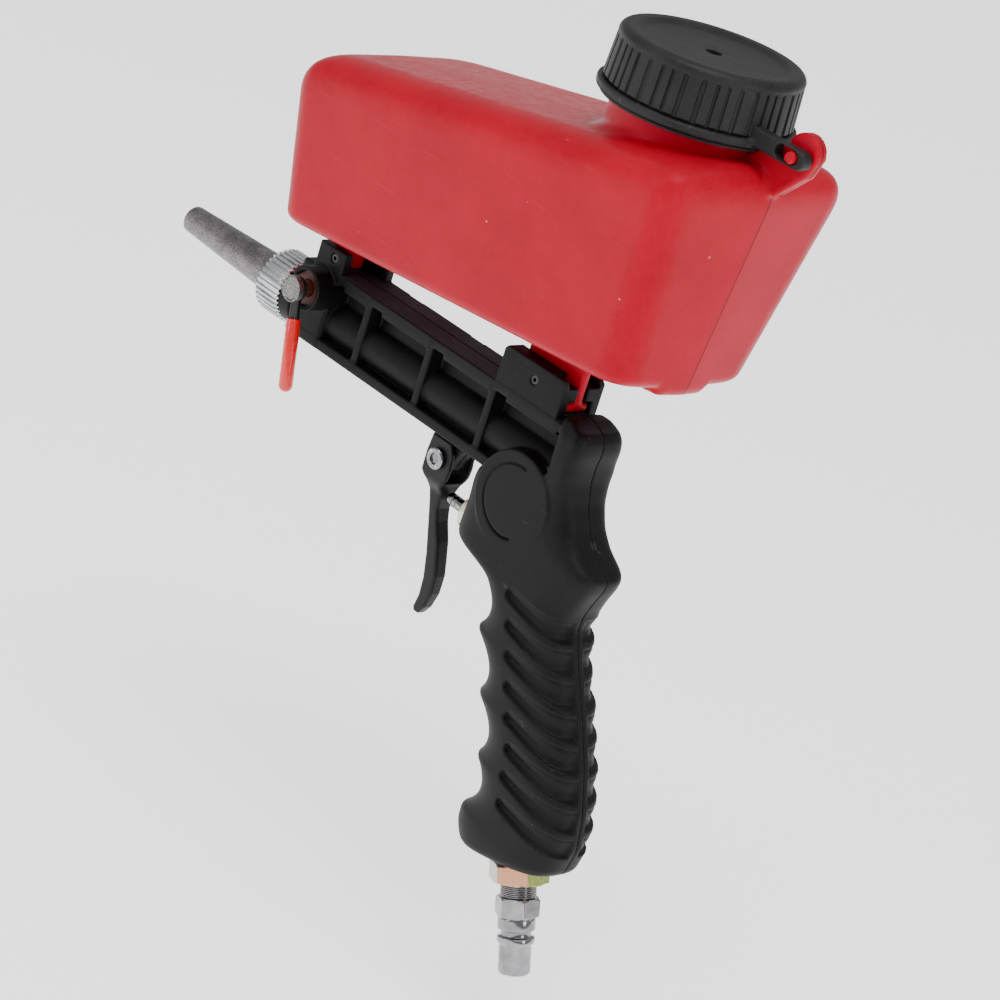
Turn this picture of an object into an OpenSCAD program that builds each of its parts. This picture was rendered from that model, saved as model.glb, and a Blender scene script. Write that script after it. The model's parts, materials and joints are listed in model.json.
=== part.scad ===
// Handheld gravity-feed abrasive blasting gun.
// Frame: the nozzle mouth is the origin, the barrel lies along X with the nozzle toward -X,
// Z is up and square to the barrel, and the valve lever is on the -Y side.

/* [Nozzle and nut] */
// Distance from the nozzle mouth to the front face of the nut
nozzle_reach = 54; // [40:1:70]
// Bore of the nozzle
nozzle_bore = 6; // [4:0.5:8]
// Outside diameter of the knurled nut
nut_diameter = 25; // [22:0.5:30]
// Number of grooves round the nut
nut_grooves = 36; // [24:2:48]

/* [Fore-end] */
// Width of the fore-end across its flanges
fore_width = 19.4; // [18:0.2:24]
// Thickness of the cross ribs between the pockets
rib_thickness = 3.2; // [2:0.2:5]
// Diameter of the round core seen in the pockets
core_diameter = 16; // [14:0.5:18]

/* [Grip] */
// Half the greatest width of the grip
grip_half_width = 14.5; // [12:0.5:18]
// Depth of the finger grooves
finger_depth = 6.4; // [4:0.2:7]
// Number of flutes down each side
flute_count = 8; // [4:1:10]
// Lean of the air inlet from the vertical, in degrees
inlet_lean = 19.5; // [10:0.5:28]

/* [Hopper] */
// Wall thickness of the hopper
hopper_wall = 2.2; // [1.6:0.1:4]
// Outside diameter of the filler neck
neck_diameter = 55.4; // [45:0.2:60]
// Number of grip ribs round the cap
cap_ribs = 40; // [24:2:60]

/* [Controls] */
// Length of the red sleeve on the valve lever
sleeve_length = 26.5; // [18:0.5:34]
// Lean of the valve lever from straight down, in degrees
lever_lean = 12.8; // [0:0.2:40]
// Bore of the media valve
media_bore = 6; // [4:0.5:8]
// Diameter of the air valve stem
stem_diameter = 4.2; // [3:0.2:5]

/* [Air inlet] */
// Outside diameter of the plug's tip
plug_tip = 11.5; // [9:0.1:13]
// Width across the flats of the plug's hexagon
plug_flats = 14; // [12:1:17]
// Width across the flats of the bushing's hexagon
bush_flats = 19; // [17:1:22]

/* [Hidden] */
$fn = 64;
eps = 0.05;
fit = 0.1;                       // gap round a fixed piece
move_gap = 0.3;                  // gap round a moving piece
half_fore = fore_width / 2;
core_r = core_diameter / 2;
flange_top = 19.3;               // top of the upper flange
flange_low = -10.7;              // underside of the lower flange
flange_t = 4;
rib_x = [56.4, 90.6, 124.4];
nut_r = nut_diameter / 2;
nut_length = 12.6;
spigot_r = 10.2;
collar_r = 11.4;
chamber_r = 7.8;
chamber_tail_r = 6;
tail_x = 37;                     // where the chamber narrows to its tail
chamber_end = 50;
media_x = 30.4;                  // axis of the media valve and the hopper spout
media_z = 10.5;
boss_r = 8.2;
boss_face = -17.5;
plug_core_r = 5;
spindle_r = 3;
air_tube_r = 4.1;
bend_r = 12;
bend_x = 124;                    // where the air tube starts to turn down
valve_z = -33;
valve_r = 6.2;
valve_front = 123.7;
stem_front = 111.5;              // tip of the stem, just behind the trigger
valve_back = 168;
stem_r = stem_diameter / 2;
pivot = [106.7, -20.1];
pivot_r = 2.4;
lug_half = 4;                    // half the width of the body's lug that holds the pivot
bracket_x = [124.5, 156];
bracket_top = 33;
front_bracket_x = 24.3;
front_bracket_top = 27;
neck_x = 163.7;
neck_r = neck_diameter / 2;
neck_top = 150.4;
cap_low = 138.5;                 // underside of the ribbed part of the cap
cap_top = 157;
cap_r = 32;
recess_r = 25.5;                 // recess in the cap's top
vent_r = 2.2;
skirt_r = neck_r + 2.2;
ring_r = 34;
ring_in = 31.4;
peg = [213.8, 139.6];
inlet_tip = [208, -171];
bush_low = 33;
bush_high = 40;
tube_top = 139;
lock_at = [[33.3, 23.4, -5.6], [141.4, 27.2, -2.6]];  // lock screws: x, z and inner end
lock_r = 1.5;
air_bore = 2.6;                  // bore of the bent air tube
grip_end = [166, -138.6];          // corner of the sloping underside of the grip
grip_end_slope = 11.8;
flute_slope = 9;
disc_c = [151, -13.7];           // round panel on the head
disc_r = 17.8;

// ---- helpers ----

// Everything is drawn from the nut's front face and moved so the nozzle mouth is the origin.
module from_nut() translate([nozzle_reach, 0, 0]) children();

module along_x(x1, x2, r1, r2 = -1, z = 0)
  translate([x1, 0, z]) rotate([0, 90, 0]) cylinder(h = x2 - x1, r1 = r1, r2 = r2 < 0 ? r1 : r2);

module along_y(y1, y2, r, at, r2 = -1)
  translate([at[0], y2, at[1]]) rotate([90, 0, 0])
    cylinder(h = y2 - y1, r1 = r2 < 0 ? r : r2, r2 = r);

module along_z(z1, z2, r, x)
  translate([x, 0, z1]) cylinder(h = z2 - z1, r = r);

module box(x, y, z) translate([x[0], y[0], z[0]]) cube([x[1] - x[0], y[1] - y[0], z[1] - z[0]]);

// Local frame of the air inlet: its tip is at zero and the grip lies toward +Z.
module at_inlet() translate([inlet_tip[0], 0, inlet_tip[1]]) rotate([0, -inlet_lean, 0]) children();

// A side outline in X and Z, thickened from y1 to y2.
module plate(y1, y2) translate([0, y2, 0]) rotate([90, 0, 0]) linear_extrude(y2 - y1) children();

module left_half() intersection() {
  children();
  translate([-40, -60, -200]) cube([300, 60, 300]);
}

module right_half() intersection() {
  children();
  translate([-40, 0, -200]) cube([300, 60, 300]);
}

// ---- the handle's form ----

back_line = [[22.4, 163], [21.2, 169], [18.4, 171.6], [14, 172.4], [8, 171.4], [2, 171.8],
  [-5.4, 174], [-13.5, 178.6], [-18.9, 184], [-22.6, 190.5], [-24.4, 192.4], [-28.2, 191.8],
  [-34, 189.2], [-40, 187], [-46, 186.6], [-58, 192.2], [-72, 200.4], [-88, 208.6], [-104, 214.6],
  [-116, 216.8], [-126, 214.6], [-134, 209.6], [-140, 204], [-145, 198]];
front_line = [[22.4, 158], [4, 160], [-8, 134], [-11, 127.6], [-16, 126.6], [-24, 126.9],
  [-34.6, 126.6], [-37.6, 127.6], [-39.4, 131], [-40.2, 139], [-42, 144.2]];
width_line = [[22.4, 9.2], [18, 11.6], [8, 12.6], [-12, 13], [-26, 13.4],
  [-42, grip_half_width - 0.5], [-100, grip_half_width], [-127, grip_half_width - 0.4],
  [-134.5, grip_half_width - 1.6], [-141, grip_half_width - 3.6]];
bluntness = [[-60, 0.72], [-38, 0.52]];  // of the handle's section: lower is squarer
flute_line = [[-41, 161.8], [-72, 174.4], [-91, 183.4], [-111, 187.6]];
flute_z = -42.4;
flute_pitch = 9.75;
flute_half = 2.7;
flute_strip = 2.4;
flute_depth = 1.8;
finger_top = -42;
finger_pitch = 20.4;
ridge_line = [[-42, 144.2], [-62.4, 147.8], [-82.8, 157.4], [-103.2, 165.6], [-123.6, 166],
  [-129.5, 166.2], [-134.5, 169], [-138, 173], [-141, 178], [-145, 186]];

// Front of the handle: four finger grooves below the valve housing.
function handle_front(z) = z > finger_top ? lookup(z, front_line)
  : lookup(z, ridge_line) + (z > finger_top - 4 * finger_pitch
      ? finger_depth * pow(abs(sin(180 * (finger_top - z) / finger_pitch)), 0.8) : 0);

// Rounded section of the handle at height z, with n points, shrunk by an inset.
function handle_ring(z, n, inset) =
  let (f = handle_front(z) + inset, b = lookup(z, back_line) - inset,
    w = lookup(z, width_line) - inset, k = lookup(z, bluntness))
  [for (i = [0 : n - 1])
    let (a = 360 * i / n, c = cos(a), s = sin(a))
    [(f + b) / 2 + (b - f) / 2 * sign(c) * pow(abs(c), k), w * sign(s) * pow(abs(s), k), z]];

module handle(inset = 0) {
  n = 24;
  levels = concat([22.4, 21.2, 18.4, 14, 8, 4, -2, -8, -11, -13.5, -18.9, -22.6, -24.4, -28.2,
    -34.6, -37.6, -39.4, -40.2], [for (i = [0 : 24]) finger_top - i * finger_pitch / 6],
    [-128, -132, -135.5, -139, -142, -145]);
  rows = len(levels);
  points = [for (z = levels) each handle_ring(z, n, inset)];
  faces = concat([[for (i = [n - 1 : -1 : 0]) i]],
    [for (r = [0 : rows - 2], i = [0 : n - 1]) each
      [[r * n + i, r * n + (i + 1) % n, (r + 1) * n + i],
       [r * n + (i + 1) % n, (r + 1) * n + (i + 1) % n, (r + 1) * n + i]]],
    [[for (i = [0 : n - 1]) (rows - 1) * n + i]]);
  polyhedron(points = points, faces = faces, convexity = 8);
}

// Side outlines of the slanted flutes: round at the front and open to the back of the grip.
module flute_outlines() for (i = [0 : flute_count - 1])
  translate([lookup(flute_z - flute_pitch * i, flute_line), flute_z - flute_pitch * i]) rotate(-flute_slope) {
    translate([flute_half, 0]) circle(r = flute_half);
    translate([flute_half, -flute_half]) square([45, 2 * flute_half]);
  }

// The handle with its flutes, which leave a plain strip down the back.
module fluted_handle() {
  difference() {
    handle();
    for (side = [[-30, -flute_strip], [flute_strip, 30]]) plate(side[0], side[1]) flute_outlines();
  }
  handle(flute_depth);
}

// Outside of both shells together.
module body_form() {
  along_x(nut_length + move_gap, 19, collar_r);
  box([18.4, 37], [-half_fore, half_fore], [flange_low, 17.6]);
  box([front_bracket_x, 160], [-half_fore, half_fore], [flange_top - flange_t - 0.8, flange_top]);
  box([18.4, 134], [-half_fore, half_fore], [flange_low, flange_low + flange_t]);
  for (x = rib_x) box([x - rib_thickness / 2, x + rib_thickness / 2],
    [-half_fore + 0.4, half_fore - 0.4], [flange_low, flange_top]);
  box([30, 160], [-2.5, 2.5], [flange_low, flange_top]);
  along_x(30, 158, core_r);
  along_y(boss_face, 13, boss_r, [media_x, media_z]);
  box([front_bracket_x, 39], [-half_fore, 0], [17, front_bracket_top]);
  box([front_bracket_x, 45.5], [0, half_fore], [17, front_bracket_top]);
  plate(-half_fore, half_fore) polygon([[bracket_x[0], 17], [bracket_x[0], bracket_top - 1.5],
    [bracket_x[0] + 1.5, bracket_top], [bracket_x[1] - 2, bracket_top],
    [bracket_x[1], bracket_top - 2], [bracket_x[1], 17]]);
  plate(-lug_half, lug_half) {
    translate(pivot) circle(r = 5);
    polygon([[pivot[0] - 5, pivot[1]], [pivot[0] - 8, -9], [pivot[0] + 16, -9],
      [pivot[0] + 8, -14], [pivot[0] + 5, pivot[1]]]);
  }
  along_y(-12.8, 12.8, disc_r, disc_c);
  difference() {
    fluted_handle();
    translate([grip_end[0], -30, grip_end[1]]) rotate([0, -grip_end_slope, 0])
      translate([-30, 0, -40]) cube([90, 60, 40]);
  }
}

// The bent path of the air tube, swollen to radius r.
module air_path(r, x_front) {
  along_x(x_front, bend_x, r);
  translate([bend_x, 0, -bend_r]) rotate([90, 0, 0]) rotate_extrude(angle = 90)
    translate([bend_r, 0]) circle(r = r);
  along_z(valve_z + valve_r - 2, -bend_r, r, bend_x + bend_r);
}

// Room inside the shells for everything they hold.
module body_room() {
  along_x(nut_length, 19, 9.2 + fit);
  along_x(19 - eps, tail_x + fit, chamber_r + fit);
  along_x(tail_x, chamber_end + fit, chamber_tail_r + fit);
  along_z(0, 18.8 + fit, chamber_r + fit, media_x);
  along_z(18.8, front_bracket_top + 1, 6, media_x);
  box([media_x, 50], [-6, 6], [flange_top + 0.1, front_bracket_top + 1]);
  along_y(-14, 14, spindle_r + move_gap, [media_x, media_z]);
  along_y(-10, 10.5, plug_core_r + move_gap, [media_x, media_z]);
  along_y(boss_face - 1, -13.6, 6.5, [media_x, media_z]);
  air_path(air_tube_r + fit, 40);
  along_x(110, valve_back + 6, valve_r + fit, z = valve_z);
  at_inlet() along_z(bush_high - 1, 46, 8.4, 0);
  at_inlet() along_z(bush_high, tube_top, 5.2, 0);
  plate(-10, 10) polygon([[156, -48], [178, -48], [184.5, -60], [205.5, -108], [200, -116],
    [180, -119], [177.5, -108], [170, -84], [163, -68]]);
  box([bracket_x[0] - 1, bracket_x[1] + 1], [-2.4, 2.4], [24, bracket_top + 1]);
  box([bracket_x[0] + 2, bracket_x[1] + 1], [-5.6, 5.6], [21, 25.4]);
  along_y(-9, 9, pivot_r + fit, pivot);
  for (y = [-12.8, 12.8]) along_y(y - 0.8, y + 0.8, 13.2 + 0.5, disc_c);
}

// Screw columns and their places; the last two cross the grip.
screw_at = [[50, 16.9], [73, 16.9], [107, 16.9], [165.5, 8], [157.2, -62], [198.5, -106]];
screw_r = 1.25;
screw_head_r = 2.2;

module screw_columns() {
  for (p = [screw_at[4], screw_at[5]]) along_y(-11, 11, 4, p);
  for (y = [-12.8, 12.8]) along_y(y - 0.8, y + 0.8, 13.2, disc_c);
}

module body_shape() difference() {
  union() {
    difference() { body_form(); body_room(); }
    screw_columns();
  }
  for (p = screw_at) {
    along_y(-5.5, 20, screw_r + fit, p);
    along_y(p[1] < 0 ? 9 : 5.6, 20, screw_head_r + fit, p);
  }
  for (p = lock_at) along_y(-12, -2, lock_r + fit, p);
}

module body_left_shell() color([0.1, 0.1, 0.1]) from_nut() left_half() body_shape();

module body_right_shell() color([0.12, 0.12, 0.12]) from_nut() right_half() body_shape();

module body_screws() color([0.6, 0.6, 0.62]) from_nut()
  for (p = screw_at) difference() {
    seat = p[1] < 0 ? 9 : 5.6;
    union() {
      along_y(-5, seat + eps, screw_r, p);
      along_y(seat, seat + 2, screw_head_r, p);
    }
    translate([0, seat + 1, 0]) for (a = [0, 90]) translate([p[0], 0, p[1]]) rotate([0, a, 0])
      translate([-1.4, 0, -0.3]) cube([2.8, 2, 0.6]);
  }

// ---- hopper and cap ----

// Rounded box of the hopper, shrunk by a given amount: [x, half y, z, radius] for each pair.
hopper_balls = [[23.5, 27.3, 36.7, 4], [192, 28, 52.5, 5], [28.5, 26.5, 87.5, 12],
  [194, 30.7, 117, 12], [31.5, 6, 35, 4], [192.5, 6, 49, 4]];

module hopper_form(inset) hull() for (b = hopper_balls, side = [-1, 1])
  translate([b[0], side * b[1], b[2]]) sphere(r = b[3] - inset, $fn = 32);

module hopper() color([0.75, 0.1, 0.12]) from_nut() difference() {
  union() {
    hopper_form(0);
    along_z(112, neck_top, neck_r, neck_x);
    along_z(20.2, 42, 5.8, media_x);
    plate(-2.6, 2.6) {
      translate([213, 141]) circle(r = 6.6);
      polygon([[206.4, 141], [206.4, 133], [198, 126], [204, 122], [216, 131.5], [219.6, 141]]);
    }
    along_y(-9.4, 0, 2.1, peg);
    box([128, bracket_x[1] - 0.5], [-2, 2], [23, 50]);
    box([128, bracket_x[1] - 0.5], [-5.2, 5.2], [21.5, 24.3]);
  }
  hopper_form(hopper_wall);
  along_z(112, neck_top + 1, neck_r - 2.6, neck_x);
  along_z(19, 45, 4, media_x);
}

module cap() color([0.08, 0.08, 0.08]) from_nut() translate([neck_x, 0, 0]) {
  rotate_extrude() polygon([[skirt_r, 133.8], [ring_in + 0.9, 133.8], [ring_in + 0.9, 134.7],
    [ring_in - move_gap, 134.7], [ring_in - move_gap, cap_low], [cap_r, cap_low],
    [cap_r, cap_top - 1.6], [cap_r - 1.6, cap_top], [recess_r, cap_top], [recess_r, 154],
    [vent_r, 154], [vent_r, 151.8], [skirt_r, 151.8]]);
  for (i = [0.5 : cap_ribs - 0.5]) rotate([0, 0, 360 * i / cap_ribs])
    translate([cap_r - 0.8, -0.8, cap_low + 0.4]) cube([1.5, 1.6, cap_top - cap_low - 3]);
}

module cap_gasket() color([0.85, 0.83, 0.78]) from_nut() translate([neck_x, 0, 150.5])
  difference() {
    cylinder(h = 1.3, r = skirt_r - 0.1);
    translate([0, 0, -1]) cylinder(h = 4, r = neck_r - 5);
  }

module cap_tether() color([0.1, 0.1, 0.11]) from_nut() difference() {
  union() {
    translate([neck_x, 0, 135.1]) cylinder(h = 3.1, r = ring_r);
    box([194.5, 199], [-7.6, -3.2], [136.3, 138.2]);
    box([197.2, 216], [-7.6, -3.2], [136.3, 142.7]);
    along_y(-7.6, -3.2, 3.2, [216, 139.5]);
  }
  translate([neck_x, 0, 130]) cylinder(h = 15, r = ring_in);
  box([208.6, peg[0]], [-9, -2], [peg[1] - 2.45, peg[1] + 2.45]);
  for (x = [208.6, peg[0]]) along_y(-9, -2, 2.45, [x, peg[1]]);
}

module spout_seal() color([0.15, 0.15, 0.15]) from_nut() translate([media_x, 0, 18.85])
  difference() {
    cylinder(h = 1.3, r = 5.9);
    translate([0, 0, -1]) cylinder(h = 4, r = 3.4);
  }

module hopper_lock_screws() color([0.35, 0.35, 0.36]) from_nut()
  for (p = lock_at) difference() {
    along_y(-9.2, p[2], lock_r, p);
    along_y(-10, -7.6, 0.85, p, $fn = 6);
  }

// ---- chamber, media valve and nozzle ----

module mixing_chamber() color([0.7, 0.7, 0.72]) from_nut() difference() {
  union() {
    along_x(5.8, nut_length + 0.2, spigot_r);
    along_x(nut_length, 19, 9.2);
    along_x(19 - eps, tail_x, chamber_r);
    along_x(tail_x - eps, chamber_end, chamber_tail_r);
    along_z(0, 18.8, chamber_r, media_x);
  }
  along_x(5, tail_x + 1, 4.6);
  along_x(tail_x, chamber_end + 1, air_tube_r + 0.05);
  along_z(0, 20, media_bore / 2, media_x);
  along_y(-12, 12, plug_core_r + 0.05, [media_x, media_z]);
}

module air_jet_tube() color([0.72, 0.62, 0.35]) from_nut() difference() {
  union() {
    along_x(24, 36, 2.2, air_tube_r);
    air_path(air_tube_r, 36 - eps);
  }
  along_x(23, 34, 1.4);
  air_path(air_bore, 33);
  along_z(valve_z - 2, valve_z + 8, air_bore, bend_x + bend_r);
}

module media_valve_plug() color([0.76, 0.6, 0.3]) from_nut() difference() {
  union() {
    along_y(-9.4, 9.4, plug_core_r, [media_x, media_z]);
    along_y(-21.2, -9.3, spindle_r, [media_x, media_z]);
    along_y(9.3, 12.6, spindle_r, [media_x, media_z]);
  }
  along_z(4, 17, media_bore / 2, media_x);
}

module valve_washer() color([0.45, 0.08, 0.1]) from_nut() difference() {
  along_y(-15.4, -13.7, 6.3, [media_x, media_z]);
  along_y(-20, -10, spindle_r + move_gap, [media_x, media_z]);
}

// Local frame of the lever: its axis is at zero and the sleeve hangs toward -Z.
module at_lever() translate([media_x, 0, media_z]) rotate([0, -lever_lean, 0]) children();

module lever_plate() color([0.09, 0.09, 0.09]) from_nut() at_lever() difference() {
  union() {
    along_y(-21, -19.4, 4.4, [0, 0]);
    box([-2.2, 2.2], [-21, -19.4], [-36, 0]);
  }
  along_y(-22, -18, spindle_r + 0.05, [0, 0]);
}

module lever_sleeve() color([0.8, 0.08, 0.08]) from_nut() at_lever() difference() {
  union() {
    translate([0, -20.2, -sleeve_length - 9]) cylinder(h = sleeve_length - 2.6, r = 2.6);
    translate([0, -20.2, -sleeve_length - 9]) sphere(r = 2.6);
  }
  box([-2.25, 2.25], [-21.05, -19.35], [-36.05, 0]);
}

module lever_screw() color([0.7, 0.7, 0.72]) from_nut() difference() {
  along_y(-23.7, -21.25, 4.9, [media_x, media_z]);
  along_y(-24.5, -23.1, 4.3, [media_x, media_z]);
}

module nozzle() color([0.62, 0.6, 0.6]) from_nut() difference() {
  union() {
    along_x(-nozzle_reach, 3, 5.25, 7.6);
    along_x(2.8, 4.7, 9.6);
  }
  along_x(-nozzle_reach - 1, -4, nozzle_bore / 2);
  along_x(-4 - eps, 5, nozzle_bore / 2, 4.6);
}

module nozzle_seal() color([0.12, 0.12, 0.12]) from_nut() difference() {
  along_x(4.75, 5.75, 9.6);
  along_x(4, 7, 4.7);
}

module nozzle_nut() color([0.8, 0.8, 0.82]) from_nut() difference() {
  along_x(0, nut_length, nut_r);
  along_x(-1, 5, 7.9);
  along_x(2.7, nut_length + 1, spigot_r + 0.06);
  for (i = [0 : nut_grooves - 1]) rotate([360 * i / nut_grooves, 0, 0])
    translate([-1, -0.5, nut_r - 0.6]) cube([nut_length + 2, 1, 2]);
}

// ---- air valve ----

module valve_body() color([0.75, 0.62, 0.32]) from_nut() difference() {
  along_x(valve_front, valve_back, valve_r, z = valve_z);
  along_x(valve_front - 1, 131.1, 4.2, z = valve_z);
  along_x(131, 147, 3.4, z = valve_z);
  along_x(147 - eps, valve_back + 1, 4.7, z = valve_z);
  along_z(valve_z, valve_z + 8, air_tube_r + 0.05, bend_x + bend_r);
  at_inlet() along_z(tube_top - 9, tube_top + 6, 3, 0);
  at_inlet() along_z(tube_top - 9, tube_top + 0.1, 5.05, 0);
}

module gland_nut() color([0.78, 0.78, 0.8]) from_nut() difference() {
  union() {
    translate([119.8, 0, valve_z]) rotate([0, 90, 0]) cylinder(h = 3.8, r = 5.5, $fn = 6);
    along_x(123.5, 131, 4.15, z = valve_z);
  }
  along_x(110, 132, stem_r + 0.05, z = valve_z);
}

module valve_stem() color([0.8, 0.8, 0.82]) from_nut() difference() {
  union() {
    along_x(stem_front + stem_r, 150.4, stem_r, z = valve_z);
    translate([stem_front + stem_r, 0, valve_z]) sphere(r = stem_r);
    along_x(150.3, 152, 4, z = valve_z);
    along_x(151.9, 156, 1.9, z = valve_z);
  }
  for (x = [115.6, 135]) translate([x, 0, valve_z]) rotate([0, 90, 0])
    rotate_extrude() translate([stem_r, 0]) square([0.8, 1], center = true);
}

module valve_seal() color([0.1, 0.1, 0.1]) from_nut() difference() {
  along_x(147.05, 150.25, 4.4, z = valve_z);
  along_x(146, 151, stem_r + 0.02, z = valve_z);
}

// Compression spring, drawn as separate closed turns joined by short slanted runs.
module valve_spring() color([0.7, 0.7, 0.72]) from_nut()
  translate([152.4, 0, valve_z]) rotate([0, 90, 0]) {
    turns = 4;
    pitch = 2.6;
    steps = 16;
    for (i = [0 : turns * steps - 1]) hull() for (k = [i, i + 1])
      translate([3.3 * cos(360 * k / steps), 3.3 * sin(360 * k / steps), pitch * k / steps])
        sphere(r = 0.45, $fn = 6);
  }

module valve_end_plug() color([0.75, 0.62, 0.32]) from_nut() difference() {
  union() {
    along_x(163.4, valve_back, 4.65, z = valve_z);
    along_x(valve_back + 0.05, valve_back + 3, 6, z = valve_z);
    along_x(valve_back - eps, valve_back + 0.1, 4.65, z = valve_z);
  }
  translate([valve_back + 1.6, -5, valve_z - 0.6]) cube([3, 10, 1.2]);
}

// ---- trigger ----

trigger_outline = [[101, -12.6], [100.4, -27], [103.4, -30.2], [105.6, -36], [108.5, -45.6],
  [111.5, -55.3], [113.4, -63.8], [113.7, -70.8], [112.6, -76], [113.6, -77.6], [115.6, -77.6],
  [118, -74], [119.6, -68], [119.4, -61], [118, -56], [115.8, -49], [112.6, -42.5], [111.2, -38],
  [111.2, -29.5], [113.2, -25.5], [113.6, -22], [113, -16], [111, -12.6]];
// Half the trigger's width at each height: two ears above and a narrow blade below
ear_inside = lug_half + move_gap;
ear_outside = 6.4;
trigger_widths = [[-5, ear_outside], [-28, ear_outside], [-32.5, 3.7], [-45, 3.2], [-60, 2.9], [-80, 2.4]];
rivet_in = ear_outside + move_gap;
rivet_out = 7.9;
rivet_r = 4;

module trigger() color([0.1, 0.1, 0.1]) from_nut() difference() {
  intersection() {
    plate(-ear_outside, ear_outside) polygon(trigger_outline);
    translate([90, 0, 0]) rotate([90, 0, 90]) linear_extrude(40) polygon(concat(
      [for (p = trigger_widths) [p[1], p[0]]],
      [for (i = [len(trigger_widths) - 1 : -1 : 0]) [-trigger_widths[i][1], trigger_widths[i][0]]]));
  }
  box([90, 130], [-ear_inside, ear_inside], [-27.5, -5]);
  box([111.2, 130], [-ear_inside, ear_inside], [-30.5, -20]);
  plate(-ear_inside, ear_inside) translate(pivot) circle(r = 9.2);
  along_y(-9, 9, pivot_r + move_gap, pivot);
}

module trigger_pivot() color([0.8, 0.8, 0.82]) from_nut() difference() {
  union() {
    along_y(-rivet_in - 0.1, rivet_in + 0.1, pivot_r, pivot);
    along_y(-rivet_out, -rivet_in, rivet_r, pivot);
    along_y(rivet_in, rivet_out, rivet_r, pivot);
  }
  for (s = [-1, 1]) translate([0, s * rivet_out, 0]) along_y(-1, 1, 2, pivot, $fn = 6);
}

// ---- air supply ----

module grip_air_tube() color([0.72, 0.62, 0.35]) from_nut() at_inlet() difference() {
  along_z(46.1, tube_top, 5, 0);
  along_z(40, tube_top + 1, 3, 0);
}

module inlet_bushing() color([0.82, 0.75, 0.5]) from_nut() at_inlet() difference() {
  union() {
    translate([0, 0, bush_low]) cylinder(h = bush_high - bush_low - 1.1,
      r = bush_flats / sqrt(3), $fn = 6);
    along_z(bush_high - 1.2, 46, 8.3, 0);
  }
  along_z(bush_low - 1, 43, 6.62, 0);
  along_z(42, 47, 3, 0);
}

module air_plug() color([0.82, 0.82, 0.84]) from_nut() at_inlet() difference() {
  union() {
    along_z(0.8, 10.6, plug_tip / 2, 0);
    cylinder(h = 0.81, r1 = plug_tip / 2 - 0.7, r2 = plug_tip / 2);
    translate([0, 0, 10.5]) cylinder(h = 1.2, r1 = plug_tip / 2, r2 = 6.7);
    along_z(11.6, 13.4, 6.7, 0);
    along_z(13.3, 16.1, 5.4, 0);
    along_z(16, 20.8, 6.7, 0);
    translate([0, 0, 20.7]) cylinder(h = 7, r = plug_flats / sqrt(3), $fn = 6);
    along_z(27.6, 42.5, 6.56, 0);
  }
  along_z(-1, 44, 3.8, 0);
}

body_left_shell();
body_right_shell();
body_screws();
hopper();
hopper_lock_screws();
spout_seal();
cap();
cap_gasket();
cap_tether();
mixing_chamber();
air_jet_tube();
media_valve_plug();
valve_washer();
lever_plate();
lever_sleeve();
lever_screw();
nozzle();
nozzle_nut();
nozzle_seal();
valve_body();
valve_stem();
valve_seal();
valve_spring();
gland_nut();
valve_end_plug();
trigger();
trigger_pivot();
grip_air_tube();
inlet_bushing();
air_plug();
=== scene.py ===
import json
from collections import namedtuple
from math import cos, pi, radians, sin, sqrt

import bmesh
import bpy
import numpy as np
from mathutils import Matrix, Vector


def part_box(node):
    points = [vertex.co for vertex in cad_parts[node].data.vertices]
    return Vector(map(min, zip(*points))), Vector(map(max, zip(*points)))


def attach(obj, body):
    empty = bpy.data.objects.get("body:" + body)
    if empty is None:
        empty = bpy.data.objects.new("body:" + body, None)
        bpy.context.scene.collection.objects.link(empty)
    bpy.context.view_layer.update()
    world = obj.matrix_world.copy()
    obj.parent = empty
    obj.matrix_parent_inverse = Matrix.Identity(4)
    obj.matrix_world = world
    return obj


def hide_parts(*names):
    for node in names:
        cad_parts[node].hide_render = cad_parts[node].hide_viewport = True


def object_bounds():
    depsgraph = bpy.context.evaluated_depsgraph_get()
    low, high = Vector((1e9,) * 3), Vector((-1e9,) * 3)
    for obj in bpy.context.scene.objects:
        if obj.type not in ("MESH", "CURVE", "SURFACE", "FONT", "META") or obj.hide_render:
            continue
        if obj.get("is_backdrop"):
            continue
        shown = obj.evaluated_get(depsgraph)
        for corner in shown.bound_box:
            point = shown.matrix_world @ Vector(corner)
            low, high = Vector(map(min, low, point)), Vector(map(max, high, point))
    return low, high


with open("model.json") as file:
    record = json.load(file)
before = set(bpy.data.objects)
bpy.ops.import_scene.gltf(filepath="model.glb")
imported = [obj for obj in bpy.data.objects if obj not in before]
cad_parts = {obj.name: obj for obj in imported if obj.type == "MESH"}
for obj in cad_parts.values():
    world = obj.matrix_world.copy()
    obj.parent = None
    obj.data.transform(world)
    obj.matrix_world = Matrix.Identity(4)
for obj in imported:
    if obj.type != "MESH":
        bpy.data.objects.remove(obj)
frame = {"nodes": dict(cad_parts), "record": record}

import openvdb
from mathutils import Matrix, Vector

# Shapes are drawn in millimetres from the nut's front face, on the barrel's axis, as the
# frame's parts are: X runs back along the barrel, Z is up, and the valve lever is at -Y.
MM = 0.001
NUT_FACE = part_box("nozzle_nut")[0].x
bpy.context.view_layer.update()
MOST_TRIANGLES = 190_000  # of one piece
SHARP = radians(35)  # a turned part's edges bent more than this aren't smoothed

# ---- the camera ----

AIM = (86.0, 56.1, -51.3)
DISTANCE = 1277
AZIMUTH, ELEVATION, ROLL = 41.12, 21.17, 17.77
LENS, SENSOR = 124.3, 36


def drawn(x, y, z):
    """A drawing point, in metres in the row frame."""
    return Vector((NUT_FACE + x * MM, y * MM, z * MM))


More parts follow.
